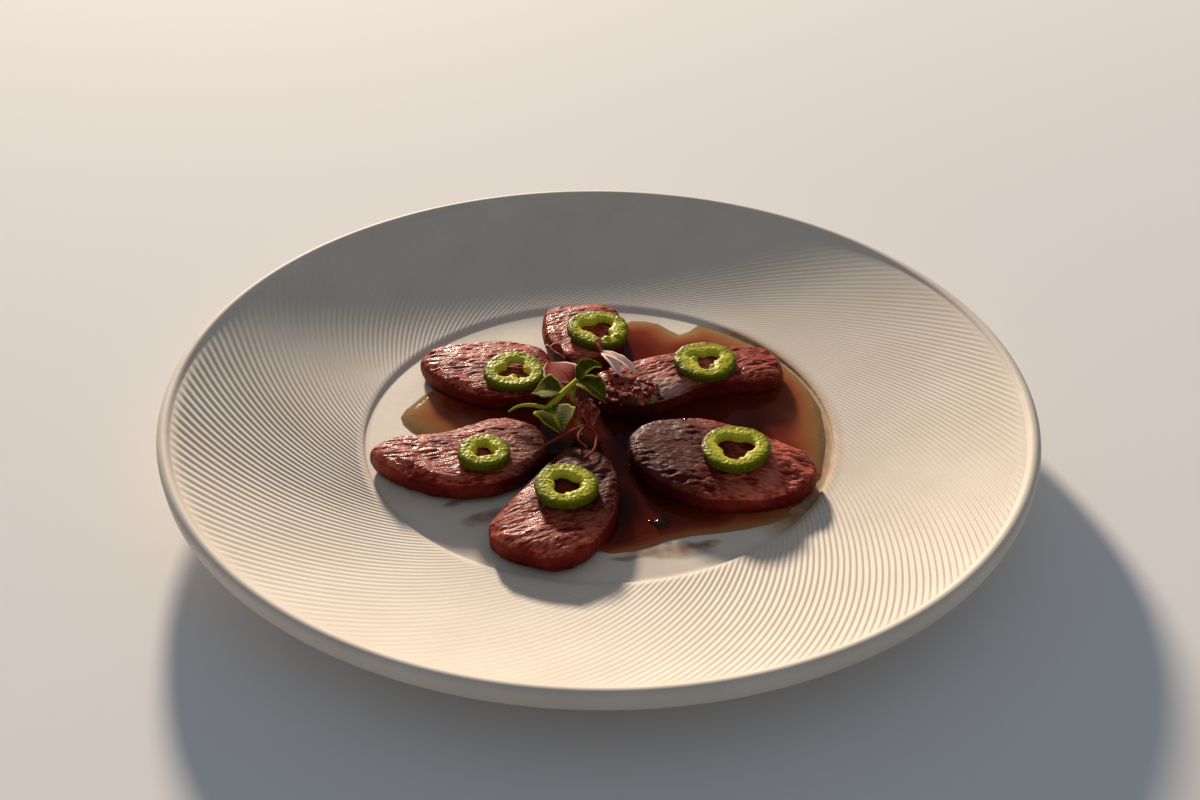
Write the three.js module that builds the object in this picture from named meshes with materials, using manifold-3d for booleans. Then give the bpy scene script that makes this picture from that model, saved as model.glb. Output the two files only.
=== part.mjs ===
// Yellowfin tuna tiradito: six thick slices of raw tuna laid like petals in the shallow well of a
// wide-rimmed plate, a ring of green chilli on each, a pool of citrus soy between them and a tuft of
// small herbs in the middle. Millimetres, +Z up, origin on the table under the plate's centre. The
// diner sits at -Y.

import * as THREE from "three";
import { mergeVertices } from "three/addons/utils/BufferGeometryUtils.js";
import Module from "manifold-3d";

const wasm = await Module();
wasm.setup();

// Plate, as radii from its axis and heights above the table
const PLATE_RADIUS = 136;
const PLATE_SIDES = 72;
const LIP_BEAD = 2;
const LIP_TOP = 25.5;
const LIP_WRAP = 0.9 * Math.PI;
const LIP_UNDERSIDE = 19.2;
const LIP_UNDERSIDE_ROUNDING = 2.5;
const RIM_OUTER_RADIUS = 131.8;
const RIM_INNER_RADIUS = 76;
const RIM_INNER_HEIGHT = 7;
const RIM_INNER_SLOPE = 0.11;
const RIM_OUTER_SLOPE = 0.5;
const CREASE_WIDTH = 0.4;
const CREASE_DROP = 0.3;
const WELL_RADIUS = 75;
const WELL_FLOOR = 6;
const FOOT_OUTER_RADIUS = 62;
const FOOT_INNER_RADIUS = 56;
const FOOT_ROUNDING = 0.7;
const PLATE_UNDERSIDE = 2.5;
const UNDERSIDE_START_RADIUS = 64;
const UNDERSIDE_START_HEIGHT = 3;
const UNDERSIDE_SLOPE = 0.06;

// Clearance between pieces that touch in the real dish
const GAP = 0.3;
const RESTING_HEIGHT = WELL_FLOOR + GAP;

// Sauce pool
const SAUCE_LEVEL = 7.6;
const SAUCE_EDGE_ROUNDING = 0.5;
const SAUCE_EDGE_STEPS = 64;
const SAUCE_REACH = WELL_RADIUS - 2 * GAP;
const SAUCE_EDGE = [
  [73, -6], [73, 16], [66, 39], [51, 58], [38, 66], [29, 58], [20, 66], [9, 66],
  [4, 50], [-2, 36], [-12, 26], [-30, 26], [-52, 25], [-61, 14], [-65, 4], [-58, -6],
  [-42, -14], [-30, -24], [-20, -30], [-13, -42], [-12, -56], [-2, -62], [11, -61], [24, -55],
  [43, -51], [58, -44], [68, -28],
];

// Tuna slices, seen from above. A path runs from a slice's inner end to its outer end, and the
// half widths to its left and right are given at even steps along it. Fibres are shallow furrows.
const SLICE_STATIONS = 14;
const SLICE_SECTION_POINTS = 20;
const SLICE_END_SHARPNESS = 7;
const SECTION_BREADTH_POWER = 3.8;
const SECTION_HEIGHT_POWER = 4;
const WIDEST_AT = 0.35;
const FIBRE_SPACING = 6.2;
const FIBRE_DEPTH = 0.35;
const FIBRE_WANDER = 1.5;
const DIMPLE_SHARE = 0.8;
const DIMPLES_ALONG = [9, 13];
const DIMPLES_ACROSS = [4, 3];
const SLICES = [
  {
    path: [[-8, 27], [-6, 46], [-8, 68]],
    left: [2, 6, 11, 13.5, 14, 13.5, 12.5],
    right: [2, 6, 11.5, 14.5, 15, 14, 12],
    height: 8.2,
    phase: 0.4,
  },
  {
    path: [[-1, 10], [29, 24], [62, 28.5]],
    left: [9, 11.5, 11, 11, 12, 12.5, 10],
    right: [9, 12.5, 13.5, 11, 10, 10, 8.5],
    height: 9,
    phase: 1.9,
  },
  {
    path: [[10, -11], [38, -25], [67, -29.5]],
    left: [5, 13, 18, 19, 15, 10, 5],
    right: [5, 14, 19, 21, 18, 13, 7],
    height: 9,
    phase: 3.1,
    notch: { at: 0.9, slant: 0.15, length: 0.05, depth: 2.2 },
  },
  {
    path: [[-4, -20], [-9, -45], [-17.5, -71.5]],
    left: [5, 10, 14, 15.5, 15, 12.5, 8],
    right: [5, 8.5, 12, 14.5, 17, 18, 15.5],
    height: 9,
    phase: 4.6,
  },
  {
    path: [[-16, -14], [-43, -24], [-71, -22]],
    left: [6.5, 12, 16.5, 16.5, 13, 8, 2],
    right: [8, 14.5, 15.5, 13.5, 11, 7.5, 2.5],
    height: 8.6,
    phase: 5.5,
  },
  {
    path: [[-16, 22], [-38, 26], [-61, 31]],
    left: [8, 15, 18, 17.5, 14.5, 9.5, 3],
    right: [8, 14.5, 16.5, 15.5, 13, 8.5, 3],
    height: 8.6,
    phase: 0.9,
  },
];

// Chilli rings, in the order of the slices they lie on
const RING_SIDES = 20;
const RING_SECTION_POINTS = 8;
const RING_THICKNESS = 3.2;
const RING_CORNER_POWER = 3.2;
const RING_UNEVENNESS = 0.02;
const PITH_LOBES = 3;
const PITH_SHARPNESS = 4;
const RING_SEAT = 0.55;
const RING_SEAT_TESTS = [0, 0.3, 0.5, 0.65, 0.8, 0.92, 1];
const RINGS = [
  { centre: [-0.6, 44.8], diameter: 22.4, wall: 5.0, pith: 2.6, phase: 0.3 },
  { centre: [35.3, 24.2], diameter: 21.8, wall: 5.5, pith: 2.4, phase: 1.2 },
  { centre: [41.8, -25.5], diameter: 22.1, wall: 4.9, pith: 1.8, phase: 2.1 },
  { centre: [-9.5, -44.8], diameter: 19.8, wall: 5.2, pith: 1.2, phase: 2.9 },
  { centre: [-34.9, -27.7], diameter: 16.8, wall: 5.0, pith: 1.0, phase: 4.2 },
  { centre: [-28.2, 16.9], diameter: 21.0, wall: 4.8, pith: 2.4, phase: 5.0 },
];

// Herbs. A leaf runs from its base to its tip; fold lifts its two halves like a shut book, arch
// bows it upward along its length.
const LEAF_THICKNESS = 0.6;
const LEAF_STEPS = 6;
const LEAF_HALF_STEPS = 2;
const LEAF_END_WIDTH = 0.12;
const LEAF_BROADEST = 0.85;
const LEAF_RIPPLES = 7;
const STEM_SIDES = 6;
const STEM_STEPS = 7;
const SPRIG_FORK = [-7.3, 5.8, 20.5];
const SPRIG_CROOK = [-16.1, -7.2, 18.6];
const SPRIG_MIDDLE = [-11.6, -0.7, 20];
const GREEN_STEMS = [
  { radius: 0.8, points: [[-6, -6, 8.2], [-7.5, -3, 13], [-8.5, 1, 17.5], SPRIG_FORK] },
  { radius: 1.1, points: [SPRIG_FORK, SPRIG_MIDDLE, SPRIG_CROOK] },
  { radius: 0.6, points: [SPRIG_CROOK, [-22.1, -6.1, 19], [-26, -6.6, 18.6], [-28.6, -7.9, 17.6]] },
];
const GREEN_LEAVES = [
  { base: SPRIG_FORK, tip: [0.6, 11, 23], width: 8.5, fold: 0.6, arch: 1.6, ripple: 0.5 },
  { base: SPRIG_FORK, tip: [1.8, -1, 18], width: 10, fold: 0.35, arch: 1.4, ripple: 0.6 },
  { base: SPRIG_MIDDLE, tip: [-21.8, 1.2, 18.4], width: 11.5, fold: 0.3, arch: 1.4, ripple: 0.6 },
  { base: SPRIG_CROOK, tip: [-11.5, -18.5, 18], width: 14, fold: 0.3, arch: 1.2, ripple: 0.6 },
];
const RED_LEAF = {
  base: [-9.5, 10, 17], tip: [-17, 21.5, 17.6], width: 12, fold: 0.12, arch: 0.6, ripple: 0.4,
};
const RED_FORK = [-4.5, -13, 16.2];
const RED_STEMS = [
  { radius: 0.6, points: [[-1, -8, 8.2], [-1.5, -10, 13], RED_FORK] },
  { radius: 0.55, points: [RED_FORK, [-10.8, -18.2, 16.4], [-16.2, -23.2, 16.2]] },
  { radius: 0.5, points: [RED_FORK, [-6.4, -20.1, 16.4], [-3.5, -25.2, 16.5]] },
  {
    radius: 0.5,
    points: [RED_FORK, [-1.4, -16, 16], [-0.9, -22, 16.5], [-1.8, -27, 16.7], [-4.5, -30.8, 16.8]],
  },
];
const RED_BUD = { base: [-3.2, -11.4, 15], tip: [-6.7, -0.9, 17], width: 8, fold: 1, arch: 0.8, ripple: 1 };
const BLOSSOM_KNOB = { centre: [-0.5, 32.2, 19], radius: 1.3 };
const BLOSSOM_FORK = [0.6, 26.6, 18.4];
const BLOSSOM_STEM = { radius: 0.65, points: [BLOSSOM_KNOB.centre, [-0.4, 29.5, 19], BLOSSOM_FORK] };
const BLOSSOM_PETALS = [
  { base: BLOSSOM_FORK, tip: [7.2, 13.4, 17.4], width: 4.4, fold: 0.5, arch: 1, ripple: 0.3 },
  { base: BLOSSOM_FORK, tip: [12.4, 15.4, 17.2], width: 4.2, fold: 0.4, arch: 1.2, ripple: 0.3 },
];

// Chopped red garnish fused to the inner end of the second slice
const TOPPED_SLICE = 1;
const CRUMB_SEED = 7;
const CRUMB_COUNT = 20;
const CRUMB_PATCH = { centre: [9, 11], reach: [13, 8] };
const CRUMB_SIZE = [0.7, 1.5];
const CRUMB_FLATNESS = [1.2, 1, 0.6];
const CRUMB_RISE = 0.1;
const CRUMB_CLEARANCE = 2.4;

function material(color, roughness, metalness = 0) {
  return new THREE.MeshStandardMaterial({ color, roughness, metalness });
}

const STONEWARE = material("#e4d2ba", 0.35);
const TUNA = material("#93453b", 0.3);
const CHILLI = material("#8a8f24", 0.35);
const SAUCE = material("#7a4a22", 0.1);
const GREEN_HERB = material("#6f7f22", 0.5);
const RED_HERB = material("#8d3a36", 0.5);
const BLOSSOM = material("#d9a5a0", 0.55);

// Turns a closed geometry so that its faces point out, with each corner shared by its triangles.
function closedBody(geometry) {
  const bare = geometry.clone();
  for (const name of Object.keys(bare.attributes)) {
    if (name !== "position") bare.deleteAttribute(name);
  }
  const merged = mergeVertices(bare, 1e-3);
  const position = merged.getAttribute("position");
  const kept = [];
  let volume = 0;
  const [a, b, c] = [new THREE.Vector3(), new THREE.Vector3(), new THREE.Vector3()];
  for (let i = 0; i < merged.index.count; i += 3) {
    const corners = [0, 1, 2].map((step) => merged.index.getX(i + step));
    if (new Set(corners).size < 3) continue;
    kept.push(...corners);
    a.fromBufferAttribute(position, corners[0]);
    b.fromBufferAttribute(position, corners[1]);
    c.fromBufferAttribute(position, corners[2]);
    volume += a.dot(b.cross(c));
  }
  if (volume < 0) kept.reverse();
  merged.setIndex(kept);
  return merged;
}

function toSolid(geometry) {
  const body = closedBody(geometry);
  return new wasm.Manifold(
    new wasm.Mesh({
      numProp: 3,
      vertProperties: new Float32Array(body.getAttribute("position").array),
      triVerts: new Uint32Array(body.index.array),
    }),
  );
}

function toGeometry(solid) {
  const mesh = solid.getMesh();
  const geometry = new THREE.BufferGeometry();
  geometry.setAttribute("position", new THREE.BufferAttribute(mesh.vertProperties, 3));
  geometry.setIndex(new THREE.BufferAttribute(mesh.triVerts, 1));
  return geometry;
}

function joined(geometries) {
  return toGeometry(geometries.map(toSolid).reduce((whole, piece) => whole.add(piece)));
}

// Closes a grid of points, rows[row][column], whose columns run round and whose first and last
// rows have shrunk to one point or end in a flat cap.
function wrappedGrid(rows) {
  const columns = rows[0].length;
  const points = rows.flat();
  const triangles = [];
  for (let row = 0; row + 1 < rows.length; row += 1) {
    for (let column = 0; column < columns; column += 1) {
      const next = (column + 1) % columns;
      const [p, q] = [row * columns + column, row * columns + next];
      triangles.push(p, q, q + columns, p, q + columns, p + columns);
    }
  }
  const last = (rows.length - 1) * columns;
  for (let column = 1; column + 1 < columns; column += 1) {
    triangles.push(0, column + 1, column, last, last + column, last + column + 1);
  }
  const geometry = new THREE.BufferGeometry().setFromPoints(points);
  geometry.setIndex(triangles);
  return closedBody(geometry);
}

// Smooth value at t, from 0 to 1, through values given at even steps.
function between(values, t) {
  const curve = new THREE.SplineCurve(values.map((value, step) => new THREE.Vector2(step, value)));
  return curve.getPoint(t).y;
}

function roundedPower(value, power) {
  return Math.sign(value) * Math.abs(value) ** (2 / power);
}

// The control point of the curve that leaves one end at one slope and reaches the other at another.
function curveControl(fromRadius, fromHeight, fromSlope, toRadius) {
  const radius = (fromRadius + toRadius) / 2;
  return [radius, fromHeight + fromSlope * (radius - fromRadius)];
}

function plateGeometry() {
  const beadRadius = PLATE_RADIUS - LIP_BEAD;
  const beadHeight = LIP_TOP - LIP_BEAD;
  const rimRun = RIM_OUTER_RADIUS - RIM_INNER_RADIUS;
  const rimOuterHeight = RIM_INNER_HEIGHT + (rimRun * (RIM_INNER_SLOPE + RIM_OUTER_SLOPE)) / 2;
  const underside = curveControl(
    UNDERSIDE_START_RADIUS, UNDERSIDE_START_HEIGHT, UNDERSIDE_SLOPE, beadRadius,
  );
  const rim = curveControl(RIM_INNER_RADIUS, RIM_INNER_HEIGHT, RIM_INNER_SLOPE, RIM_OUTER_RADIUS);
  const points = [];
  const draw = (path, divisions) => points.push(...path.getPoints(divisions));

  draw(new THREE.Path()
    .moveTo(0, PLATE_UNDERSIDE)
    .lineTo(FOOT_INNER_RADIUS - FOOT_ROUNDING, PLATE_UNDERSIDE)
    .lineTo(FOOT_INNER_RADIUS, FOOT_ROUNDING)
    .lineTo(FOOT_INNER_RADIUS + FOOT_ROUNDING, 0)
    .lineTo(FOOT_OUTER_RADIUS - FOOT_ROUNDING, 0)
    .lineTo(FOOT_OUTER_RADIUS, FOOT_ROUNDING), 1);
  draw(new THREE.Path()
    .moveTo(UNDERSIDE_START_RADIUS, UNDERSIDE_START_HEIGHT)
    .quadraticCurveTo(...underside, beadRadius, LIP_UNDERSIDE), 4);
  draw(new THREE.Path()
    .moveTo(beadRadius + LIP_BEAD / 4, LIP_UNDERSIDE)
    .quadraticCurveTo(
      PLATE_RADIUS, LIP_UNDERSIDE, PLATE_RADIUS, LIP_UNDERSIDE + LIP_UNDERSIDE_ROUNDING,
    ), 2);
  draw(new THREE.Path().absarc(beadRadius, beadHeight, LIP_BEAD, 0, LIP_WRAP, false), 4);
  draw(new THREE.Path()
    .moveTo(RIM_OUTER_RADIUS, rimOuterHeight)
    .quadraticCurveTo(...rim, RIM_INNER_RADIUS, RIM_INNER_HEIGHT), 7);
  draw(new THREE.Path()
    .moveTo(RIM_INNER_RADIUS - CREASE_WIDTH, RIM_INNER_HEIGHT - CREASE_DROP)
    .quadraticCurveTo(RIM_INNER_RADIUS - 2 * CREASE_WIDTH, WELL_FLOOR, WELL_RADIUS, WELL_FLOOR)
    .lineTo(0, WELL_FLOOR), 2);

  return closedBody(new THREE.LatheGeometry(points, PLATE_SIDES).rotateX(Math.PI / 2));
}

// A slice's frame at t along its path: centre, direction to its left, and how far its ends have
// drawn in its width and height.
function sliceStation(slice, t) {
  const path = new THREE.SplineCurve(slice.path.map(([x, y]) => new THREE.Vector2(x, y)));
  const centre = path.getPoint(t);
  const along = path.getTangent(t);
  const left = new THREE.Vector2(-along.y, along.x);
  const end = Math.sqrt(Math.max(0, 1 - Math.abs(2 * t - 1) ** SLICE_END_SHARPNESS));
  return { centre, left, end };
}

function stationPlace(step) {
  return 0.5 - 0.5 * Math.cos((Math.PI * step) / SLICE_STATIONS);
}

// How far the furrows and the notch lower the top, at t along the slice and a fraction across it.
function furrow(slice, t, across, halfWidth) {
  const offset = across * halfWidth + FIBRE_WANDER * Math.sin(2 * Math.PI * t + slice.phase);
  const furrows = Math.sin((2 * Math.PI * offset) / FIBRE_SPACING + slice.phase);
  const dimples = Math.sin(DIMPLES_ALONG[0] * t + DIMPLES_ACROSS[0] * across + slice.phase)
    * Math.cos(DIMPLES_ALONG[1] * t - DIMPLES_ACROSS[1] * across);
  let drop = FIBRE_DEPTH * (1 + furrows + DIMPLE_SHARE * dimples);
  if (slice.notch) {
    const { at, slant, length, depth } = slice.notch;
    drop += depth * Math.exp(-(((t - at - slant * across) / length) ** 2));
  }
  return drop;
}

function sliceGeometry(slice) {
  const rows = [];
  for (let step = 0; step <= SLICE_STATIONS; step += 1) {
    const t = stationPlace(step);
    const { centre, left, end } = sliceStation(slice, t);
    const row = [];
    for (let corner = 0; corner < SLICE_SECTION_POINTS; corner += 1) {
      const angle = (2 * Math.PI * corner) / SLICE_SECTION_POINTS;
      const across = roundedPower(Math.cos(angle), SECTION_BREADTH_POWER);
      const rise = roundedPower(Math.sin(angle), SECTION_HEIGHT_POWER);
      const halfWidth = between(across > 0 ? slice.left : slice.right, t) * end;
      const widest = slice.height * WIDEST_AT;
      const reach = rise > 0 ? slice.height - widest : widest;
      const drop = rise > 0 ? rise * end * furrow(slice, t, across, halfWidth) : 0;
      row.push(new THREE.Vector3(
        centre.x + left.x * across * halfWidth,
        centre.y + left.y * across * halfWidth,
        RESTING_HEIGHT + widest + reach * rise * end - drop,
      ));
    }
    rows.push(row);
  }
  return wrappedGrid(rows);
}

// The outline of a slice from above, wider all round by a clearance.
function sliceOutline(slice, clearance) {
  const leftEdge = [];
  const rightEdge = [];
  for (let step = 0; step <= SLICE_STATIONS; step += 1) {
    const t = stationPlace(step);
    const { centre, left, end } = sliceStation(slice, t);
    leftEdge.push(centre.clone().addScaledVector(left, between(slice.left, t) * end));
    rightEdge.push(centre.clone().addScaledVector(left, -between(slice.right, t) * end));
  }
  const edge = [...rightEdge, ...leftEdge.slice(1, -1).reverse()];
  return edge.map((point, index) => {
    const before = edge[(index + edge.length - 1) % edge.length];
    const after = edge[(index + 1) % edge.length];
    const outward = new THREE.Vector2(after.y - before.y, before.x - after.x).normalize();
    return point.clone().addScaledVector(outward, clearance);
  });
}

function sauceGeometry() {
  const edge = new THREE.SplineCurve(
    [...SAUCE_EDGE, SAUCE_EDGE[0]].map(([x, y]) => new THREE.Vector2(x, y)),
  ).getPoints(SAUCE_EDGE_STEPS).slice(0, -1);
  const outline = new THREE.Shape(edge.map((point) => point.clampLength(0, SAUCE_REACH)));
  const pool = new THREE.ExtrudeGeometry(outline, {
    depth: SAUCE_LEVEL - RESTING_HEIGHT - 2 * SAUCE_EDGE_ROUNDING,
    bevelEnabled: true,
    bevelSegments: 1,
    bevelThickness: SAUCE_EDGE_ROUNDING,
    bevelSize: SAUCE_EDGE_ROUNDING,
    bevelOffset: -SAUCE_EDGE_ROUNDING,
  }).translate(0, 0, RESTING_HEIGHT + SAUCE_EDGE_ROUNDING);
  let sauce = toSolid(pool);
  for (const slice of SLICES) {
    const well = new THREE.ExtrudeGeometry(new THREE.Shape(sliceOutline(slice, GAP)), {
      depth: SAUCE_LEVEL, bevelEnabled: false,
    });
    sauce = sauce.subtract(toSolid(well));
  }
  const pieces = sauce.decompose().sort((a, b) => b.volume() - a.volume());
  return toGeometry(pieces[0]);
}

// Height of a surface straight above or below a point, or nothing where it isn't there.
function surfaceHeight(mesh, x, y) {
  const ray = new THREE.Raycaster(new THREE.Vector3(x, y, PLATE_RADIUS), new THREE.Vector3(0, 0, -1));
  const hits = ray.intersectObject(mesh);
  return hits.length ? hits[0].point.z : undefined;
}

function ringGeometry(ring) {
  const outer = ring.diameter / 2;
  const rows = [];
  for (let corner = 0; corner < RING_SECTION_POINTS; corner += 1) {
    const angle = (2 * Math.PI * (corner + 0.5)) / RING_SECTION_POINTS;
    const breadth = roundedPower(Math.cos(angle), RING_CORNER_POWER);
    const rise = roundedPower(Math.sin(angle), RING_CORNER_POWER);
    const row = [];
    for (let side = 0; side < RING_SIDES; side += 1) {
      const turn = (2 * Math.PI * side) / RING_SIDES;
      const bumps = Math.cos(PITH_LOBES * turn + ring.phase) + Math.cos(2 * turn);
      const skin = outer * (1 - RING_UNEVENNESS * bumps);
      const lobe = Math.abs(Math.cos((PITH_LOBES * turn + ring.phase) / 2)) ** PITH_SHARPNESS;
      const flesh = skin - ring.wall - ring.pith * lobe;
      const radius = (skin + flesh) / 2 + ((skin - flesh) / 2) * breadth;
      row.push(new THREE.Vector3(
        radius * Math.cos(turn), radius * Math.sin(turn), (RING_THICKNESS / 2) * rise,
      ));
    }
    rows.push(row);
  }
  return closedRing(rows);
}

// Closes a grid whose rows and columns both run round.
function closedRing(rows) {
  const columns = rows[0].length;
  const triangles = [];
  for (let row = 0; row < rows.length; row += 1) {
    const above = ((row + 1) % rows.length) * columns;
    for (let column = 0; column < columns; column += 1) {
      const next = (column + 1) % columns;
      const [p, q] = [row * columns + column, row * columns + next];
      triangles.push(p, q, above + next, p, above + next, above + column);
    }
  }
  const geometry = new THREE.BufferGeometry().setFromPoints(rows.flat());
  geometry.setIndex(triangles);
  return closedBody(geometry);
}

// Lays a ring on a slice: its tilt follows the slice under it, and it clears the highest point.
function layOn(ringMesh, ring, sliceMesh) {
  const [x, y] = ring.centre;
  const reach = ring.diameter / 2;
  const heightAt = (dx, dy) => surfaceHeight(sliceMesh, x + dx, y + dy);
  const middle = heightAt(0, 0);
  const seat = reach * RING_SEAT;
  const slopeAcross = ((heightAt(seat, 0) ?? middle) - (heightAt(-seat, 0) ?? middle)) / (2 * seat);
  const slopeAlong = ((heightAt(0, seat) ?? middle) - (heightAt(0, -seat) ?? middle)) / (2 * seat);
  let lift = -Infinity;
  for (let side = 0; side < RING_SIDES; side += 1) {
    const turn = (2 * Math.PI * side) / RING_SIDES;
    for (const share of RING_SEAT_TESTS) {
      const [dx, dy] = [reach * share * Math.cos(turn), reach * share * Math.sin(turn)];
      const height = heightAt(dx, dy);
      if (height !== undefined) lift = Math.max(lift, height - slopeAcross * dx - slopeAlong * dy);
    }
  }
  const up = new THREE.Vector3(-slopeAcross, -slopeAlong, 1).normalize();
  ringMesh.quaternion.setFromUnitVectors(new THREE.Vector3(0, 0, 1), up);
  ringMesh.position.set(x, y, lift + GAP + RING_THICKNESS / 2);
}

function vector([x, y, z]) {
  return new THREE.Vector3(x, y, z);
}

// A thin wavy leaf whose upper and lower faces are split into the same triangles.
function leafGeometry(leaf) {
  const base = vector(leaf.base);
  const tip = vector(leaf.tip);
  const along = tip.clone().sub(base).normalize();
  const side = new THREE.Vector3(0, 0, 1).cross(along).normalize();
  const up = along.clone().cross(side).normalize();
  const rows = [];
  for (let step = 0; step <= LEAF_STEPS; step += 1) {
    const t = step / LEAF_STEPS;
    const swell = Math.sin(Math.PI * t ** LEAF_BROADEST);
    const halfWidth = (leaf.width / 2) * THREE.MathUtils.lerp(LEAF_END_WIDTH, 1, swell);
    const spine = base.clone().lerp(tip, t).addScaledVector(up, leaf.arch * Math.sin(Math.PI * t));
    const face = (across, offset) => {
      const lift = leaf.fold * Math.abs(across) * halfWidth
        + leaf.ripple * Math.abs(across) * Math.sin(LEAF_RIPPLES * t + 2 * across);
      return spine.clone()
        .addScaledVector(side, across * halfWidth * Math.cos(leaf.fold))
        .addScaledVector(up, lift + offset);
    };
    const row = [];
    for (let half = -LEAF_HALF_STEPS; half <= LEAF_HALF_STEPS; half += 1) {
      row.push(face(half / LEAF_HALF_STEPS, LEAF_THICKNESS / 2));
    }
    for (let half = LEAF_HALF_STEPS; half >= -LEAF_HALF_STEPS; half -= 1) {
      row.push(face(half / LEAF_HALF_STEPS, -LEAF_THICKNESS / 2));
    }
    rows.push(row);
  }
  return wrappedGrid(rows);
}

function stemGeometry({ radius, points }) {
  const section = new THREE.Shape();
  section.absarc(0, 0, radius, 0, 2 * Math.PI, false);
  return new THREE.ExtrudeGeometry(section, {
    steps: STEM_STEPS,
    curveSegments: STEM_SIDES / 2,
    bevelEnabled: false,
    extrudePath: new THREE.CatmullRomCurve3(points.map(vector)),
  });
}

function sprigGeometry(stems, leaves) {
  return joined([...stems.map(stemGeometry), ...leaves.map(leafGeometry)]);
}

function blossomGeometry() {
  const knob = new THREE.SphereGeometry(BLOSSOM_KNOB.radius, 7, 5).translate(...BLOSSOM_KNOB.centre);
  return joined([knob, stemGeometry(BLOSSOM_STEM), ...BLOSSOM_PETALS.map(leafGeometry)]);
}

// Repeatable random numbers between 0 and 1.
function randomNumbers(seed) {
  let state = seed;
  return () => {
    state = (state * 16807) % 2147483647;
    return state / 2147483647;
  };
}

// A slice with a scatter of chopped garnish half sunk in it, clear of the petals that lie over it.
function toppedSliceGeometry(slice) {
  const random = randomNumbers(CRUMB_SEED);
  const bare = new THREE.Mesh(sliceGeometry(slice));
  const petals = BLOSSOM_PETALS.map(({ base, tip }) => new THREE.Line3(
    new THREE.Vector3(base[0], base[1], 0), new THREE.Vector3(tip[0], tip[1], 0),
  ));
  const crumbs = [];
  while (crumbs.length < CRUMB_COUNT) {
    const turn = 2 * Math.PI * random();
    const share = Math.sqrt(random());
    const x = CRUMB_PATCH.centre[0] + CRUMB_PATCH.reach[0] * share * Math.cos(turn);
    const y = CRUMB_PATCH.centre[1] + CRUMB_PATCH.reach[1] * share * Math.sin(turn);
    const size = THREE.MathUtils.lerp(...CRUMB_SIZE, random());
    const crumb = new THREE.OctahedronGeometry(size).rotateX(3 * random()).rotateZ(3 * random());
    const spot = new THREE.Vector3(x, y, 0);
    const clear = petals.every((petal) => {
      const nearest = petal.closestPointToPoint(spot, true, new THREE.Vector3());
      return nearest.distanceTo(spot) > CRUMB_CLEARANCE + size;
    });
    const height = surfaceHeight(bare, x, y);
    if (clear && height > RESTING_HEIGHT + slice.height / 2) {
      crumbs.push(crumb.scale(...CRUMB_FLATNESS).translate(x, y, height + CRUMB_RISE));
    }
  }
  return joined([bare.geometry, ...crumbs]);
}

const dish = new THREE.Group();

function add(name, geometry, finish) {
  const mesh = new THREE.Mesh(geometry, finish);
  mesh.name = name;
  dish.add(mesh);
  return mesh;
}

add("plate", plateGeometry(), STONEWARE);
add("sauce_pool", sauceGeometry(), SAUCE);
const slices = SLICES.map((slice, index) => {
  const geometry = index === TOPPED_SLICE ? toppedSliceGeometry(slice) : sliceGeometry(slice);
  return add(`tuna_slice_${index + 1}`, geometry, TUNA);
});
RINGS.forEach((ring, index) => {
  layOn(add(`chilli_ring_${index + 1}`, ringGeometry(ring), CHILLI), ring, slices[index]);
});
add("green_sprig", sprigGeometry(GREEN_STEMS, GREEN_LEAVES), GREEN_HERB);
add("red_sprig", sprigGeometry(RED_STEMS, [RED_BUD]), RED_HERB);
add("red_leaf", leafGeometry(RED_LEAF), RED_HERB);
add("blossom", blossomGeometry(), BLOSSOM);

export default dish;
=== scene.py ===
# Yellowfin tuna tiradito: raw tuna slices laid like petals on a wide plate with swirling ribs, a
# ring of green chilli on each, citrus soy pooled between them and a tuft of herbs in the middle.
# Metres, +Z up, origin on the table under the plate's centre; the diner sits at -Y.

import math
import random

import bmesh
import bpy
import numpy as np
from mathutils import Matrix, Vector, noise
from mathutils.bvhtree import BVHTree
from mathutils.kdtree import KDTree


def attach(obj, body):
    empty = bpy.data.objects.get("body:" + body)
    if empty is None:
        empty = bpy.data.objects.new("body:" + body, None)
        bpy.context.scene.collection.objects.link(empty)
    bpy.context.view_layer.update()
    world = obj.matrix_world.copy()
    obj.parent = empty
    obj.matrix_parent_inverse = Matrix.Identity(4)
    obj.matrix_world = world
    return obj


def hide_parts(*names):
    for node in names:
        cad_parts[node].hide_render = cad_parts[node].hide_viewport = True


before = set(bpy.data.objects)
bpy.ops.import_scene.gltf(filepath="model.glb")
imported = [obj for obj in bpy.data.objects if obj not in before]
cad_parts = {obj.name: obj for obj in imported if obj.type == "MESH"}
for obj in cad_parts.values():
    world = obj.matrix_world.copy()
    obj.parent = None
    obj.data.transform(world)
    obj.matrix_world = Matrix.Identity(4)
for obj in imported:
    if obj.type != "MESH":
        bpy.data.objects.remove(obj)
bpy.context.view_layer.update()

MM = 0.001
BODY = "root"

# noise_vector starts from the clock unless it is seeded
NOISE_SEED = 5
MERGE_DISTANCE = 0.002 * MM
LEVEL_TOLERANCE = 1e-3 * MM

# A colour mix node's sockets, by position
MIX_A = 6
MIX_B = 7
MIX_RESULT = 2

# Camera: the photograph's view, as an orbit round a point over the plate's centre
LENS_MM = 42
SENSOR_MM = 36
CAMERA_TARGET = Vector((0, 0, 23.5 * MM))
CAMERA_DISTANCE = 444.64 * MM
CAMERA_ELEVATION = math.radians(33.737)
CAMERA_YAW = math.radians(0.028)
CAMERA_PITCH = math.radians(-0.686)
CAMERA_ROLL = math.radians(0.592)

# Lights
KEY_AZIMUTH = math.radians(104.5)
KEY_ELEVATION = math.radians(17)
KEY_DISTANCE = 6
KEY_SIZE = 0.62
KEY_POWER = 595
KEY_COLOUR = "#ffecd7"
FILL_COLOUR = "#e4efff"
FILL_STRENGTH = 0.24
FLOOR_COLOUR = "#f6f5f3"
FLOOR_SIZE = 12

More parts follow.
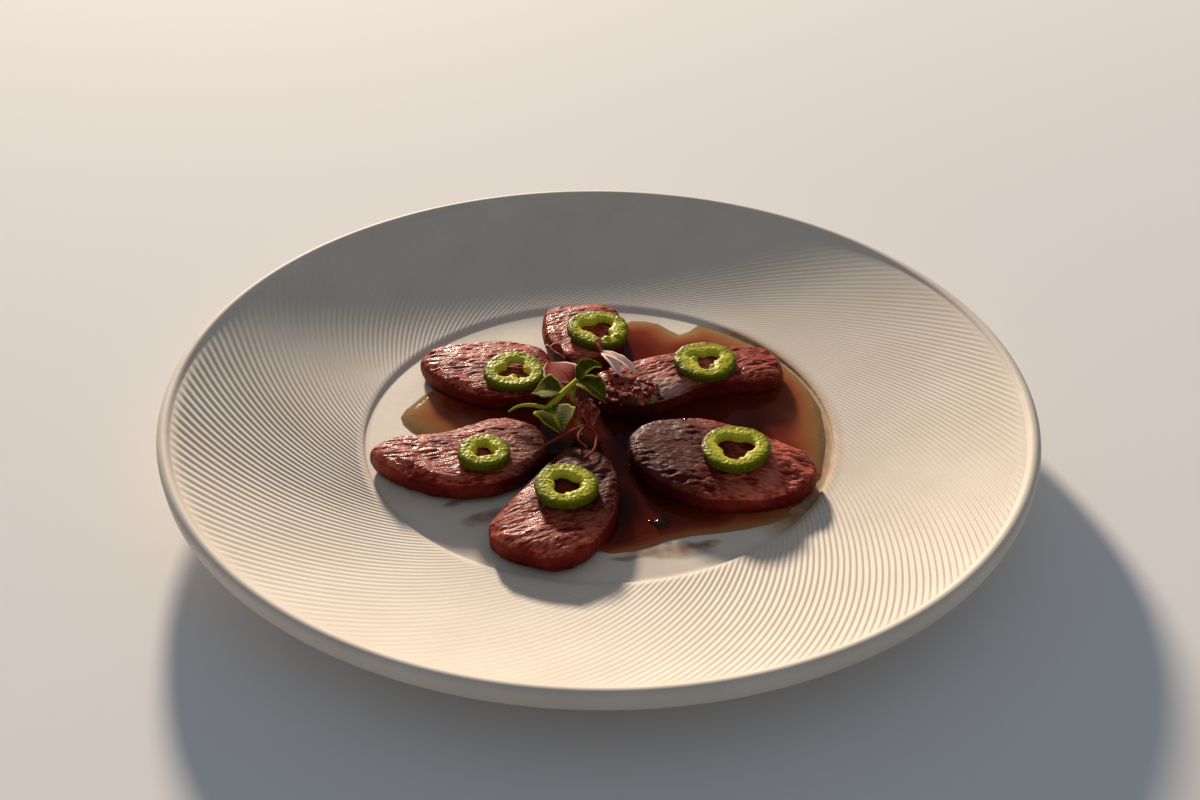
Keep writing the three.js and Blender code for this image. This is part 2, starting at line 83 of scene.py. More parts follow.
# Plate, in millimetres: radii from its axis and heights above the table. The section has extra
# points just inside the well's edge, to carry the stain there.
PLATE_RADIUS = 136
LIP_BEAD = 2
LIP_TOP = 25.5
LIP_WRAP = 0.9 * math.pi
LIP_UNDERSIDE = 19.2
LIP_UNDERSIDE_ROUNDING = 2.5
RIM_OUTER_RADIUS = 131.8
RIM_INNER_RADIUS = 76
RIM_INNER_HEIGHT = 7
RIM_INNER_SLOPE = 0.11
RIM_OUTER_SLOPE = 0.5
CREASE_WIDTH = 0.4
CREASE_DROP = 0.3
WELL_RADIUS = 75
WELL_FLOOR = 6
WELL_EDGE_INSETS = (0, 1.5, 3, 5)
WELL_MIDDLE_RADIUS = 30
CREASE_ZONE = 2
EDGE_TOLERANCE = 0.01
FACE_TOLERANCE = 0.05
UPPER_FACE_MARGIN = 0.5
FOOT_OUTER_RADIUS = 62
FOOT_INNER_RADIUS = 56
FOOT_ROUNDING = 0.7
PLATE_UNDERSIDE = 2.5
UNDERSIDE_START = (64, 3)
UNDERSIDE_SLOPE = 0.06

# Ribs: each runs out from the crease along a spiral. As on a hand-thrown plate, their slant, place
# and depth drift round the rim. A drift is a sum of waves: the number of each round the plate, its
# height (in degrees for the place), and the turn of one of its crests in degrees. The depths are
# from trough to crest before the drift, at the crease and at the lip.
RIB_COUNT = 216
RIB_SAMPLES = 6
RIB_ROWS = 30
RIB_SLANT = 1.35
RIB_SLANT_DRIFT = ((1, 0.32, 70), (2, 0.15, 30))
RIB_PLACE_DRIFT = ((1, 2.2, 130), (2, 2.4, 23), (3, 1.1, 32))
RIB_DEPTH_DRIFT = ((1, 0.32, 235), (2, 0.7, 157), (3, 0.43, 76))
RIB_DEPTH_INNER = 0.18
RIB_DEPTH_OUTER = 0.3
RIB_FADE_INNER = 1.6
RIB_FADE_OUTER = 1.2
RIB_CREST_POWER = 0.75
RIB_MEAN_CREST = 0.55
RIB_WAVER = math.radians(0.12)
RIB_WAVER_LENGTH = 9
RIB_WAVER_WIDTH = 3

# Tuna slices, in millimetres, and the plan angle of each slice's grain in degrees. Fibres, flakes,
# grit and swells are raised in the mesh: a length along the grain, a spacing across it, a relief.
# Strands are finer and in the material's bump alone. Real muscle fibres are too fine to show at
# this size, so all of these are drawn coarser.
RESTING_HEIGHT = 6.3
LET_DOWN_TOP = 10
LET_DOWN_FADE = 4
TUNA_VOXEL = 0.34
TUNA_GRAINS = (20, 25, -10, 24, 5, 7)
FIBRE_LENGTH = 4.2
FIBRE_SPACING = 1
FIBRE_DEPTH = 2
FIBRE_RELIEF = 0.15
FIBRE_SWAY = 2.2
SWAY_LENGTH = 15
SWAY_SPACING = 9
STRAND_LENGTH = 1.8
STRAND_SPACING = 0.62
FLAKE_LENGTH = 9
FLAKE_SPACING = 2.4
FLAKE_RELIEF = 0.22
GRIT_LENGTH = 1.5
GRIT_SPACING = 0.65
GRIT_DEPTH = 0.8
GRIT_RELIEF = 0.1
SWELL_LENGTH = 13
SWELL_SPACING = 6
SWELL_RELIEF = 0.26
SLICE_NOISE_STEP = 7
FLAKE_NOISE_STEP = 3
FOOT_FADE = 1.5

# What faces up has full relief and contrast from this slope on; a slice's side has these shares
UPWARD_FROM = 0.4
UPWARD_FADE = 0.4
SIDE_RELIEF = 0.25
SIDE_CONTRAST = 0.3

# How light the flesh is, 0 to 1, and how much fibres, flakes and grit change that. The sides are
# darker and the tops lighter as painted shade and painted light.
SHADED_SIDE_TONE = 0.3
LIT_TOP_TONE = 0.5
FIBRE_TONE = 0.25
FLAKE_TONE = 0.15
GRIT_TONE = 0.3

# Pale patches, where the flesh is pale and a painted sheen lies on it: plan place, reach and strength.
# Soaked-in juices and painted shade darken the flesh fully within the inner radius of their centre and
# not past the outer one; painted contact shade also darkens its foot, up to the foot's shade height.
# The first pale patch is the fifth slice's wet tip, pale and with a painted sheen; the second is a painted
# sheen on the second slice's lobe
PALE_AND_SHEEN_PATCHES = ((-69.5, -16.5, 3.4, 1), (22, 11, 8, 0.4))
SOAK_AND_SHADE_CENTRE = (6, -24)
SOAK_AND_SHADE_INNER = 22
SOAK_AND_SHADE_OUTER = 46
SOAK_AND_SHADE_SWAY = 6
# Painted contact shade at each slice's foot: how high it reaches and how strong it is
FOOT_SHADE_HEIGHT = 5.5
FOOT_PAINTED_SHADE = 0.8
PALE_AND_SHEEN_FIBRES = 0.5

# Chilli rings, in millimetres. The drops let each ring down from its solid's place, where it
# stands clear, until it lies on its slice.
RING_VOXEL = 0.26
RING_GRAIN = 0.8
RING_GRAIN_RELIEF = 0.2
RING_SKIN_GRAIN = 0.35
RING_SWELL = 3.2
RING_SWELL_RELIEF = 0.22
RING_NOISE_STEP = 9
RING_SECTORS = 48
RING_CUT_RATE = 4
RING_WALL = 4.4
RING_DROPS = (0.56, 0.26, 0.2, 0.26, 0.2, 0.44)

# Pith lumps in the rings' holes: ring, place and radius in millimetres
PITH_LUMPS = (
    (1, (2.3, 38.1, 16.6), 1.5), (1, (5.8, 40.1, 16.7), 1.3), (1, (-1.4, 37.7, 16.3), 1.1),
    (2, (31.5, 24.8, 16.9), 1.4), (2, (37.6, 20.6, 16.9), 1.2),
    (3, (35.4, -26.3, 17.0), 1.5), (3, (43.3, -31.1, 16.8), 1.2), (3, (48.8, -29.3, 16.5), 1.1),
    (4, (-12.2, -49.2, 16.8), 1.2), (4, (-8.8, -49.0, 16.8), 1.3), (4, (-4.4, -44.4, 16.8), 1.1),
    (5, (-38.3, -27.1, 16.4), 1.3),
    (6, (-28.4, 13.3, 16.4), 1.6), (6, (-25.2, 12.0, 16.4), 1.4),
)

# Sauce, in millimetres. It thins over the taper towards its free edge, climbs the flesh by the
# rise, and is drawn into the flesh by the overlap. The colour reaches are how far inland it takes to
# grow dark; the bands at the left and the front have their own. Near the flesh the sauce is darker
# by painted shade and a painted reflection of the dark flesh.
SAUCE_VOXEL = 0.42
SAUCE_DEPTH = 1.6
SAUCE_LIFT = 0.02
EDGE_TAPER = 3.2
MENISCUS_RISE = 0.45
MENISCUS_REACH = 0.9
FLESH_REACH = 3
FLESH_OVERLAP = 0.4
FREE_GAP = 3
FULL_PULL_GAP = 1.8
LEAST_GAP = 0.2
LEAST_DEPTH = 0.05
SIDE_SLOPE = 0.6
RIPPLE = 0.05
RIPPLE_SIZE = 7
RIPPLE_LAYER = 3
CLOUD = 0.1
CLOUD_SIZE = 9
CLOUD_LAYER = 11
COLOUR_REACH = 20
FRONT_COLOUR_REACH = 8
LEFT_COLOUR_REACH = 30
LEFT_BAND = 22
LEFT_FADE = 16
FRONT_BAND = 58
FRONT_FADE = 34
PAINTED_SHADE_NEAR_FLESH = 0.3
PAINTED_SHADE_NEAR_FLESH_REACH = 5
# Share of the soak mark, gathered juices and painted shade, in the sauce's darkness
JUICE_AND_SHADE_SHARE = 0.25

# Herbs, in millimetres. A leaf is its base, its tip, its width, how far its halves fold up (in
# radians), how far it bows up and how far its edges wave. A stem is its points and its end radii.
LEAF_THICKNESS = 0.36
LEAF_ROWS = 40
LEAF_COLUMNS = 20
LEAF_END_WIDTH = 0.12
LEAF_BROADEST = 0.85
LEAF_RIPPLES = 7
LEAF_VEIN = 0.5
LEAF_NOTCH = 0.05
LEAF_NOTCHES = 23
LEAF_NOTCH_SKEW = 3
LEAF_SIDE_VEINS = 5
LEAF_VEIN_SLANT = 0.22
LEAF_VEIN_SHARPNESS = 8
LEAF_MIDRIB_WIDTH = 0.1
LEAF_VEIN_SINK = 0.02
LEAF_SIDE_VEIN_SINK = 0.5
LEAF_SIDE_VEIN_TONE = 0.6
CRUMPLE_SIZE = 2.2
SPRIG_FORK = (-7.3, 5.8, 20.5)
SPRIG_MIDDLE = (-11.6, -0.7, 20)
SPRIG_CROOK = (-16.1, -7.2, 18.6)
GREEN_STEMS = (
    (((-6, -6, 7), (-7.5, -3, 13), (-8.5, 1, 17.5), SPRIG_FORK), 0.8, 0.7),
    ((SPRIG_FORK, SPRIG_MIDDLE, SPRIG_CROOK), 1, 1.15),
    ((SPRIG_CROOK, (-22.1, -6.1, 19), (-26, -6.6, 18.6), (-28.6, -7.9, 17.6)), 0.75, 0.28),
)
GREEN_LEAVES = (
    (SPRIG_FORK, (0.6, 11, 23), 8.5, 0.6, 1.6, 0.5),
    (SPRIG_FORK, (1.8, -1, 18), 10, 0.35, 1.4, 0.6),
    (SPRIG_MIDDLE, (-21.8, 1.2, 18.4), 11.5, 0.3, 1.4, 0.6),
    (SPRIG_CROOK, (-11.5, -18.5, 18), 14, 0.3, 1.2, 0.6),
)
RED_LEAVES = (
    ((-9.5, 10.9, 16.4), (-17, 22.4, 17), 12, 0.03, 0.6, 0.4),
    ((-11.7, 30.5, 12.7), (-18.8, 37.9, 13), 5, 0.9, 0.8, 0.7),
)
RED_FORK = (-4.5, -13, 16.2)
RED_STEMS = (
    (((-1, -8, 7), (-1.5, -10, 13), RED_FORK), 0.6, 0.5),
    ((RED_FORK, (-10.8, -18.2, 16.4), (-16.2, -23.2, 16.2)), 0.65, 0.4),
    ((RED_FORK, (-6.4, -20.1, 16.4), (-3.5, -25.2, 16.5)), 0.5, 0.3),
    ((RED_FORK, (-1.4, -16, 16), (-0.9, -22, 16.5), (-1.8, -27, 16.7), (-4.5, -30.8, 16.8)), 0.5, 0.35),
)
RED_BUD = (
    ((-3.2, -11.4, 15), (-6.7, -0.9, 17), 8, 1, 0.8, 1),
    ((-3.6, -11.2, 15.2), (-9.0, -3.6, 18.2), 6, 0.2, 1.2, 1),
    ((-3.2, -11, 15.2), (-2.4, -2.8, 18), 6, 0.2, 1, 1),
)
BUD_CRUMPLE = 0.8
BLOSSOM_KNOB = (-0.5, 33.8, 18)
BLOSSOM_KNOB_RADIUS = 1.3
KNOB_LUMPS = 0.3
KNOB_LUMP_SIZE = 0.8
KNOB_VEIN = 0.5
BLOSSOM_FORK = (0.6, 28.2, 17.4)
BLOSSOM_STEMS = (((BLOSSOM_KNOB, (-0.4, 31.1, 18), BLOSSOM_FORK), 0.7, 0.6),)
BLOSSOM_PETALS = (
    (BLOSSOM_FORK, (7.2, 15, 16.4), 4.4, 0.5, 1, 0.3),
    (BLOSSOM_FORK, (12.5, 17, 16.2), 4.2, 0.4, 1.2, 0.3),
)

# Chopped garnish on the second slice, in millimetres, with its shape as shares of its size. The
# draws that miss the slice are left out.
CRUMB_SEED = 7
CRUMB_COUNT = 170
CRUMB_CENTRE = (6.5, 9)
CRUMB_REACH = (13, 9)
CRUMB_SIZES = (0.4, 1.2)
CRUMB_STRETCH = (1, 2.2)
CRUMB_FLATNESS = (0.35, 0.6)
CRUMB_TILT = 0.3
CRUMB_LIFT = 0.25
CRUMB_LUMPS = 0.45
CRUMB_LUMP_SIZE = 0.6
ABOVE_FOOD = 40

# Loose drops of sauce, in millimetres: place and radius, then their shape as shares of the radius
DROPS = (
    (12.2, 31.4, 7.4, 1.9), (-48.6, 13.9, 12.95, 0.7), (-46.7, 12.8, 12.8, 0.5),
    (27.3, -6.2, 14, 0.8), (25.1, -4.3, 12, 0.4), (18.5, -50, 7.3, 2.2), (15.6, -49.2, 7.2, 1.3),
)
DROP_WIDTH = 0.9
DROP_HEIGHT = 0.5

# Smears of sauce left on the glaze, in millimetres: place, two radii and turn in degrees
SMEARS = (
    (-33.5, -46, 9, 3.6, 30), (-44, -40, 4, 1.6, 25), (21, -60.5, 15, 4.2, 4), (8, -64, 5, 1.6, 10),
    (31, -57.5, 6, 2, 12),
)
SMEAR_THICKNESS = 0.1
SMEAR_COVER = 0.85
SMEAR_SWAY = 0.9
SMEAR_SWAY_SIZE = 5

# Stain of thin sauce on the glaze round the pool's right edge: turns and radii between which it
# lies, in millimetres, with how far it takes to fade
STAIN_TURNS = (math.radians(-50), math.radians(60))
STAIN_FADE = math.radians(12)
STAIN_RADII = (68, 79.5)
STAIN_INNER_FADE = 3
STAIN_OUTER_FADE = 5
STAIN_STRENGTH = 0.85
STAIN_PATCHINESS = 0.3
STAIN_PATCH_SIZE = 3


def linear(hex_colour):
    """A colour given as sRGB hex, as the linear RGBA that shaders take."""
    channels = [int(hex_colour[i : i + 2], 16) / 255 for i in (1, 3, 5)]
    return [c / 12.92 if c <= 0.04045 else ((c + 0.055) / 1.055) ** 2.4 for c in channels] + [1]


def add_node(material, kind, inputs=(), stops=(), **settings):
    """Adds a node. An input is a value or the output that feeds it. Stops are a ramp's places and
    colours, with its first and last stop before the others."""
    tree = material.node_tree
    made = tree.nodes.new("ShaderNode" + kind)
    for name, value in settings.items():
        setattr(made, name, value)
    for place, value in dict(inputs).items():
        if isinstance(value, bpy.types.NodeSocket):
            tree.links.new(value, made.inputs[place])
        else:
            made.inputs[place].default_value = value
    for index, (position, colour) in enumerate(stops):
        points = made.color_ramp.elements
        point = points[index] if index < 2 else points.new(position)
        point.position = position
        point.color = linear(colour) if isinstance(colour, str) else (colour, colour, colour, 1)
    return made


def new_material(name):
    material = bpy.data.materials.new(name)
    material.use_nodes = True
    material.node_tree.nodes.clear()
    return material


def finish_material(material, inputs):
    """Adds the surface shader and its output."""
    surface = add_node(material, "BsdfPrincipled", inputs)
    add_node(material, "OutputMaterial", {"Surface": surface.outputs["BSDF"]})
    return material


def new_piece(name, mesh, material, replaces=()):
    """Puts a finished mesh, in metres in the frame, into the scene as a piece of the dish."""
    mesh.name = name
    piece = bpy.data.objects.new(name, mesh)
    bpy.context.scene.collection.objects.link(piece)
    mesh.materials.clear()
    mesh.materials.append(material)
    mesh.shade_smooth()
    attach(piece, BODY)
    if replaces:
        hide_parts(*replaces)


def mesh_from(work):
    """Closes a bmesh into a mesh, with its doubles merged and its faces pointing out."""
    bmesh.ops.remove_doubles(work, verts=work.verts, dist=MERGE_DISTANCE)
    bmesh.ops.recalc_face_normals(work, faces=work.faces)
    mesh = bpy.data.meshes.new("work")
    work.to_mesh(mesh)
    work.free()
    return mesh


def node_copy(*nodes):
    """CAD nodes' meshes as one bmesh, with their loose triangles merged."""
    work = bmesh.new()
    for node in nodes:
        work.from_mesh(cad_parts[node].data)
    bmesh.ops.remove_doubles(work, verts=work.verts, dist=MERGE_DISTANCE)
    bmesh.ops.recalc_face_normals(work, faces=work.faces)
    return work


def fine_skin(work, voxel, smoothing):
    """An even fine skin round closed forms, as a mesh: the forms remeshed as one and smoothed a little."""
    rough = mesh_from(work)
    holder = bpy.data.objects.new("work", rough)
    bpy.context.scene.collection.objects.link(holder)
    remesh = holder.modifiers.new("remesh", "REMESH")
    remesh.mode = "VOXEL"
    remesh.voxel_size = voxel * MM
    smooth = holder.modifiers.new("smooth", "SMOOTH")
    smooth.iterations = smoothing
    bpy.context.view_layer.update()
    made = bpy.data.meshes.new_from_object(holder.evaluated_get(bpy.context.evaluated_depsgraph_get()))
    bpy.data.objects.remove(holder)
    bpy.data.meshes.remove(rough)
    return made


def points_of(mesh):
    """A mesh's points in millimetres, and its normals there."""
    points = np.empty(3 * len(mesh.vertices), np.float32)
    mesh.vertices.foreach_get("co", points)
    normals = np.empty_like(points)
    mesh.vertex_normals.foreach_get("vector", normals)
    return points.reshape(-1, 3).astype(float) / MM, normals.reshape(-1, 3).astype(float)


def put_points(mesh, points):
    mesh.vertices.foreach_set("co", (points * MM).astype(np.float32).ravel())
    mesh.update()


def note(mesh, name, values):
    """Keeps one number from 0 to 1 for each point, for a material to read."""
    mesh.attributes.new(name, "FLOAT", "POINT").data.foreach_set("value", np.clip(values, 0, 1))


def note_place(mesh, name, places):
    """Keeps a place for each point, for a material's pattern to follow."""
    mesh.attributes.new(name, "FLOAT_VECTOR", "POINT").data.foreach_set("vector", np.ravel(places))


def noise_at(*axes):
    """Smooth noise, about -1 to 1, at each point given by its coordinates' arrays."""
    return np.array([noise.noise(point) for point in np.stack(np.broadcast_arrays(*axes), -1)])


def smooth_step(value):
    value = np.clip(value, 0, 1)
    return value * value * (3 - 2 * value)


def mix(a, b, share):
    return a + (b - a) * share


def bezier(start, control, end, steps):
    """Points along a curve with one control point, without its last."""
    points = []
    for step in range(steps):
        t = step / steps
        points.append([
            (1 - t) ** 2 * a + 2 * t * (1 - t) * b + t * t * c for a, b, c in zip(start, control, end)
        ])
    return points


def rim_height(radius):
    """Mean height of the ribbed face over the table, in millimetres."""
    width = RIM_OUTER_RADIUS - RIM_INNER_RADIUS
    run = radius - RIM_INNER_RADIUS
    slope = RIM_INNER_SLOPE + (RIM_OUTER_SLOPE - RIM_INNER_SLOPE) * run / width / 2
    return RIM_INNER_HEIGHT + slope * run


def plate_profile():
    """Half section from the underside's centre round the foot and the lip to the well's centre."""
    bead = PLATE_RADIUS - LIP_BEAD
    centre = LIP_TOP - LIP_BEAD
    middle = (UNDERSIDE_START[0] + bead) / 2
    control = (middle, UNDERSIDE_START[1] + UNDERSIDE_SLOPE * (middle - UNDERSIDE_START[0]))
    points = [
        (0, PLATE_UNDERSIDE),
        (FOOT_INNER_RADIUS - FOOT_ROUNDING, PLATE_UNDERSIDE),
        (FOOT_INNER_RADIUS, PLATE_UNDERSIDE - FOOT_ROUNDING),
        (FOOT_INNER_RADIUS, FOOT_ROUNDING),
        (FOOT_INNER_RADIUS + FOOT_ROUNDING, 0),
        (FOOT_OUTER_RADIUS - FOOT_ROUNDING, 0),
        (FOOT_OUTER_RADIUS, FOOT_ROUNDING),
    ]
    points += bezier(UNDERSIDE_START, control, (bead, LIP_UNDERSIDE), 6)
    points += bezier((bead, LIP_UNDERSIDE), (PLATE_RADIUS, LIP_UNDERSIDE),
                     (PLATE_RADIUS, LIP_UNDERSIDE + LIP_UNDERSIDE_ROUNDING), 3)
    for step in range(9):
        turn = LIP_WRAP * step / 8
        points.append((bead + LIP_BEAD * math.cos(turn), centre + LIP_BEAD * math.sin(turn)))
    for step in range(RIB_ROWS + 1):
        radius = mix(RIM_OUTER_RADIUS, RIM_INNER_RADIUS, step / RIB_ROWS)
        points.append((radius, rim_height(radius)))
    crease = (RIM_INNER_RADIUS - CREASE_WIDTH, RIM_INNER_HEIGHT - CREASE_DROP)
    points += bezier(crease, (RIM_INNER_RADIUS - 2 * CREASE_WIDTH, WELL_FLOOR),
                     (WELL_RADIUS, WELL_FLOOR), 4)
    points += [(WELL_RADIUS - inset, WELL_FLOOR) for inset in WELL_EDGE_INSETS]
    points += [(WELL_MIDDLE_RADIUS, WELL_FLOOR), (0, WELL_FLOOR)]
    return points


def drift(turn, waves):
    """A sum of waves round the plate, at each turn."""
    return sum(height * np.cos(count * (turn - math.radians(crest))) for count, height, crest in waves)


def rib_swing(turn, radius):
    """How far the rib that starts at a turn has swung round the plate by a radius."""
    reach = np.log(np.clip(radius, RIM_INNER_RADIUS, RIM_OUTER_RADIUS) / RIM_INNER_RADIUS)
    slant = RIB_SLANT + drift(turn, RIB_SLANT_DRIFT)
    return np.radians(drift(turn, RIB_PLACE_DRIFT)) - slant * reach


def rib_rise(turn, swing, radius):
    """Height of the ribbed face over its mean, in millimetres."""
    fade_in = smooth_step((radius - RIM_INNER_RADIUS) / RIB_FADE_INNER)
    fade_out = smooth_step((RIM_OUTER_RADIUS - radius) / RIB_FADE_OUTER)
    share = (radius - RIM_INNER_RADIUS) / (RIM_OUTER_RADIUS - RIM_INNER_RADIUS)
    crest = (0.5 + 0.5 * np.cos(RIB_COUNT * turn)) ** RIB_CREST_POWER
    depth = mix(RIB_DEPTH_INNER, RIB_DEPTH_OUTER, share) * (1 + drift(turn + swing, RIB_DEPTH_DRIFT))
    return depth * (crest - RIB_MEAN_CREST) * fade_in * fade_out


def is_level_ring(a, b):
    """Whether the edge between two points runs round the plate's axis."""
    same_radius = abs(math.hypot(a.co.x, a.co.y) - math.hypot(b.co.x, b.co.y)) < LEVEL_TOLERANCE
    return same_radius and abs(a.co.z - b.co.z) < LEVEL_TOLERANCE


def shore_stain(radius, turn):
    """How strongly a film of sauce too thin to stand up tints the glaze round the pool's right edge."""
    along = smooth_step((turn - STAIN_TURNS[0]) / STAIN_FADE)
    along = along * smooth_step((STAIN_TURNS[1] - turn) / STAIN_FADE)
    out = smooth_step((radius - STAIN_RADII[0]) / STAIN_INNER_FADE)
    out = out * smooth_step((STAIN_RADII[1] - radius) / STAIN_OUTER_FADE)
    share = np.zeros(len(radius))
    near = along * out > 0
    patch = noise_at(
        radius[near] * np.cos(turn[near]) / STAIN_PATCH_SIZE,
        radius[near] * np.sin(turn[near]) / STAIN_PATCH_SIZE,
        0,
    )
    share[near] = (along * out)[near] * (STAIN_STRENGTH + STAIN_PATCHINESS * patch)
    return share


def plate_mesh():
    """The whole plate in one spin, then its rim's points swung and raised into ribs."""
    work = bmesh.new()
    section = [work.verts.new((r * MM, 0, z * MM)) for r, z in plate_profile()]
    edges = [work.edges.new(pair) for pair in zip(section, section[1:])]
    bmesh.ops.spin(
        work, geom=section + edges, cent=(0, 0, 0), axis=(0, 0, 1), dvec=(0, 0, 0),
        angle=2 * math.pi, steps=RIB_COUNT, use_merge=True, use_duplicate=False,
    )
    around = [edge for edge in work.edges if is_level_ring(*edge.verts)]
    bmesh.ops.subdivide_edges(work, edges=around, cuts=RIB_SAMPLES - 1, use_grid_fill=True)
    mesh = mesh_from(work)
    points = points_of(mesh)[0]
    radius = np.hypot(points[:, 0], points[:, 1])
    turn = np.arctan2(points[:, 1], points[:, 0])
    height = points[:, 2]
    rim = (radius > RIM_INNER_RADIUS - EDGE_TOLERANCE) & (radius < RIM_OUTER_RADIUS + EDGE_TOLERANCE)
    rim &= height > rim_height(radius) - FACE_TOLERANCE
    outside = (radius > WELL_RADIUS + CREASE_ZONE) | (height < WELL_FLOOR - UPPER_FACE_MARGIN)
    swing = rib_swing(turn, np.where(rim, radius, np.where(outside, RIM_OUTER_RADIUS, RIM_INNER_RADIUS)))
    swing[rim] += RIB_WAVER * noise_at(
        radius[rim] / RIB_WAVER_LENGTH,
        RIB_WAVER_WIDTH * np.cos(turn[rim]),
        RIB_WAVER_WIDTH * np.sin(turn[rim]),
    )
    height[rim] += rib_rise(turn[rim], swing[rim], radius[rim])
    put_points(mesh, np.stack([radius * np.cos(turn + swing), radius * np.sin(turn + swing), height], -1))
    note(mesh, "stain", shore_stain(radius, turn + swing) * (height > WELL_FLOOR - UPPER_FACE_MARGIN))
    return mesh


def stoneware_glaze():
    """Stoneware under a poured satin glaze: warm cream, faintly clouded where the glaze runs thin,
    with soft broad highlights and a fine unevenness, tinted brown where sauce has stained it. The
    specks are drawn about a millimetre across, coarser than in a real glaze."""
    material = new_material("satin glazed stoneware")
    place = add_node(material, "TexCoord").outputs["Object"]
    cloud = add_node(material, "TexNoise", {"Vector": place, "Scale": 45, "Detail": 4})
    tone = add_node(material, "ValToRGB", {"Fac": cloud.outputs["Fac"]},
                    stops=[(0.3, "#ddd1bf"), (0.7, "#e6dbcb")])
    speck = add_node(material, "TexNoise", {"Vector": place, "Scale": 900, "Detail": 2})
    rough = add_node(material, "MapRange", {"Value": speck.outputs["Fac"], "To Min": 0.58, "To Max": 0.7})
    bump = add_node(material, "Bump", {"Height": speck.outputs["Fac"], "Strength": 0.15,
                                       "Distance": 0.05 * MM})
    stain = add_node(material, "Attribute", attribute_name="stain").outputs["Fac"]
    whole = add_node(material, "Mix", {0: stain, MIX_A: tone.outputs["Color"],
                                       MIX_B: linear("#a57c45")}, data_type="RGBA")
    return finish_material(material, {
        "Base Color": whole.outputs[MIX_RESULT], "Roughness": rough.outputs["Result"], "IOR": 1.5,
        "Specular IOR Level": 0.3, "Normal": bump.outputs["Normal"],
    })


def soaked_and_shaded(x, y, sway=0):
    """How dark soaked-in juices and painted shade make a place: 1 in the middle of the pool, 0 well away
    from it.
    """
    reach = np.hypot(x - SOAK_AND_SHADE_CENTRE[0], y - SOAK_AND_SHADE_CENTRE[1]) + sway
    return smooth_step((SOAK_AND_SHADE_OUTER - reach) / (SOAK_AND_SHADE_OUTER - SOAK_AND_SHADE_INNER))


def tuna_mesh(number):
    """A slice with its muscle fibres raised along its grain, let down onto the plate. Its points know
    how light their fibres are, with tops lighter and sides darker as painted light and shade; how
    soaked they are, partly as painted shade round the pool's middle and at the foot; how pale they
    are, partly as a painted sheen; and their place along the grain."""
    mesh = fine_skin(node_copy(f"tuna_slice_{number}"), TUNA_VOXEL, 1)
    points, normals = points_of(mesh)
    x, y, z = points.T
    grain = math.radians(TUNA_GRAINS[number - 1])
    along = x * math.cos(grain) + y * math.sin(grain)
    across = y * math.cos(grain) - x * math.sin(grain)
    sway = FIBRE_SWAY * noise_at(along / SWAY_LENGTH, across / SWAY_SPACING, SLICE_NOISE_STEP * number)
    swayed = across + sway
    fibre = 1 - 2 * np.abs(noise_at(along / FIBRE_LENGTH, swayed / FIBRE_SPACING, z / FIBRE_DEPTH))
    layer = FLAKE_NOISE_STEP * number
    flake = 1 - 2 * np.abs(noise_at(along / FLAKE_LENGTH, swayed / FLAKE_SPACING, layer))
    grit = noise_at(along / GRIT_LENGTH, across / GRIT_SPACING, z / GRIT_DEPTH)
    layer = z / SWELL_SPACING + SLICE_NOISE_STEP * number
    swell = noise_at(along / SWELL_LENGTH, across / SWELL_SPACING, layer)
    upward = smooth_step((normals[:, 2] - UPWARD_FROM) / UPWARD_FADE)
    relief = FIBRE_RELIEF * fibre + FLAKE_RELIEF * flake + GRIT_RELIEF * grit
    relief = relief * mix(SIDE_RELIEF, 1, upward)
    relief = (relief + SWELL_RELIEF * swell) * smooth_step((z - RESTING_HEIGHT) / FOOT_FADE)
    points += normals * relief[:, None]
    let_down = RESTING_HEIGHT - WELL_FLOOR - SAUCE_LIFT
    points[:, 2] -= let_down * smooth_step((LET_DOWN_TOP - z) / LET_DOWN_FADE)
    put_points(mesh, points)
    pattern = FIBRE_TONE * fibre + FLAKE_TONE * flake + GRIT_TONE * grit
    # The flesh is lighter where it faces up and darker on the sides: painted light and painted shade
    note(mesh, "fibre", mix(SHADED_SIDE_TONE, LIT_TOP_TONE, upward) + mix(SIDE_CONTRAST, 1, upward) * pattern)
    # Painted contact shade: the foot of each slice darker, fading out over the foot's shade height
    foot = smooth_step((RESTING_HEIGHT + FOOT_SHADE_HEIGHT - z) / FOOT_SHADE_HEIGHT)
    # The soak mark is partly sauce soaked in and partly painted shade round the middle of the pool; at the
    # foot it is painted contact shade
    note(mesh, "soak_and_shade", np.maximum(soaked_and_shaded(x, y, SOAK_AND_SHADE_SWAY * swell), FOOT_PAINTED_SHADE * foot))
    strand = [along / STRAND_LENGTH, swayed / STRAND_SPACING, z / STRAND_SPACING]
    note_place(mesh, "strand", np.stack(strand, -1))
    # Pale patches on upward faces, partly pale flesh and partly a painted sheen
    pale = [
        share * np.exp(-((np.hypot(x - px, y - py) / reach) ** 2))
        for px, py, reach, share in PALE_AND_SHEEN_PATCHES
    ]
    note(mesh, "pale", upward * np.sum(pale, 0) * (1 + PALE_AND_SHEEN_FIBRES * fibre))
    return mesh


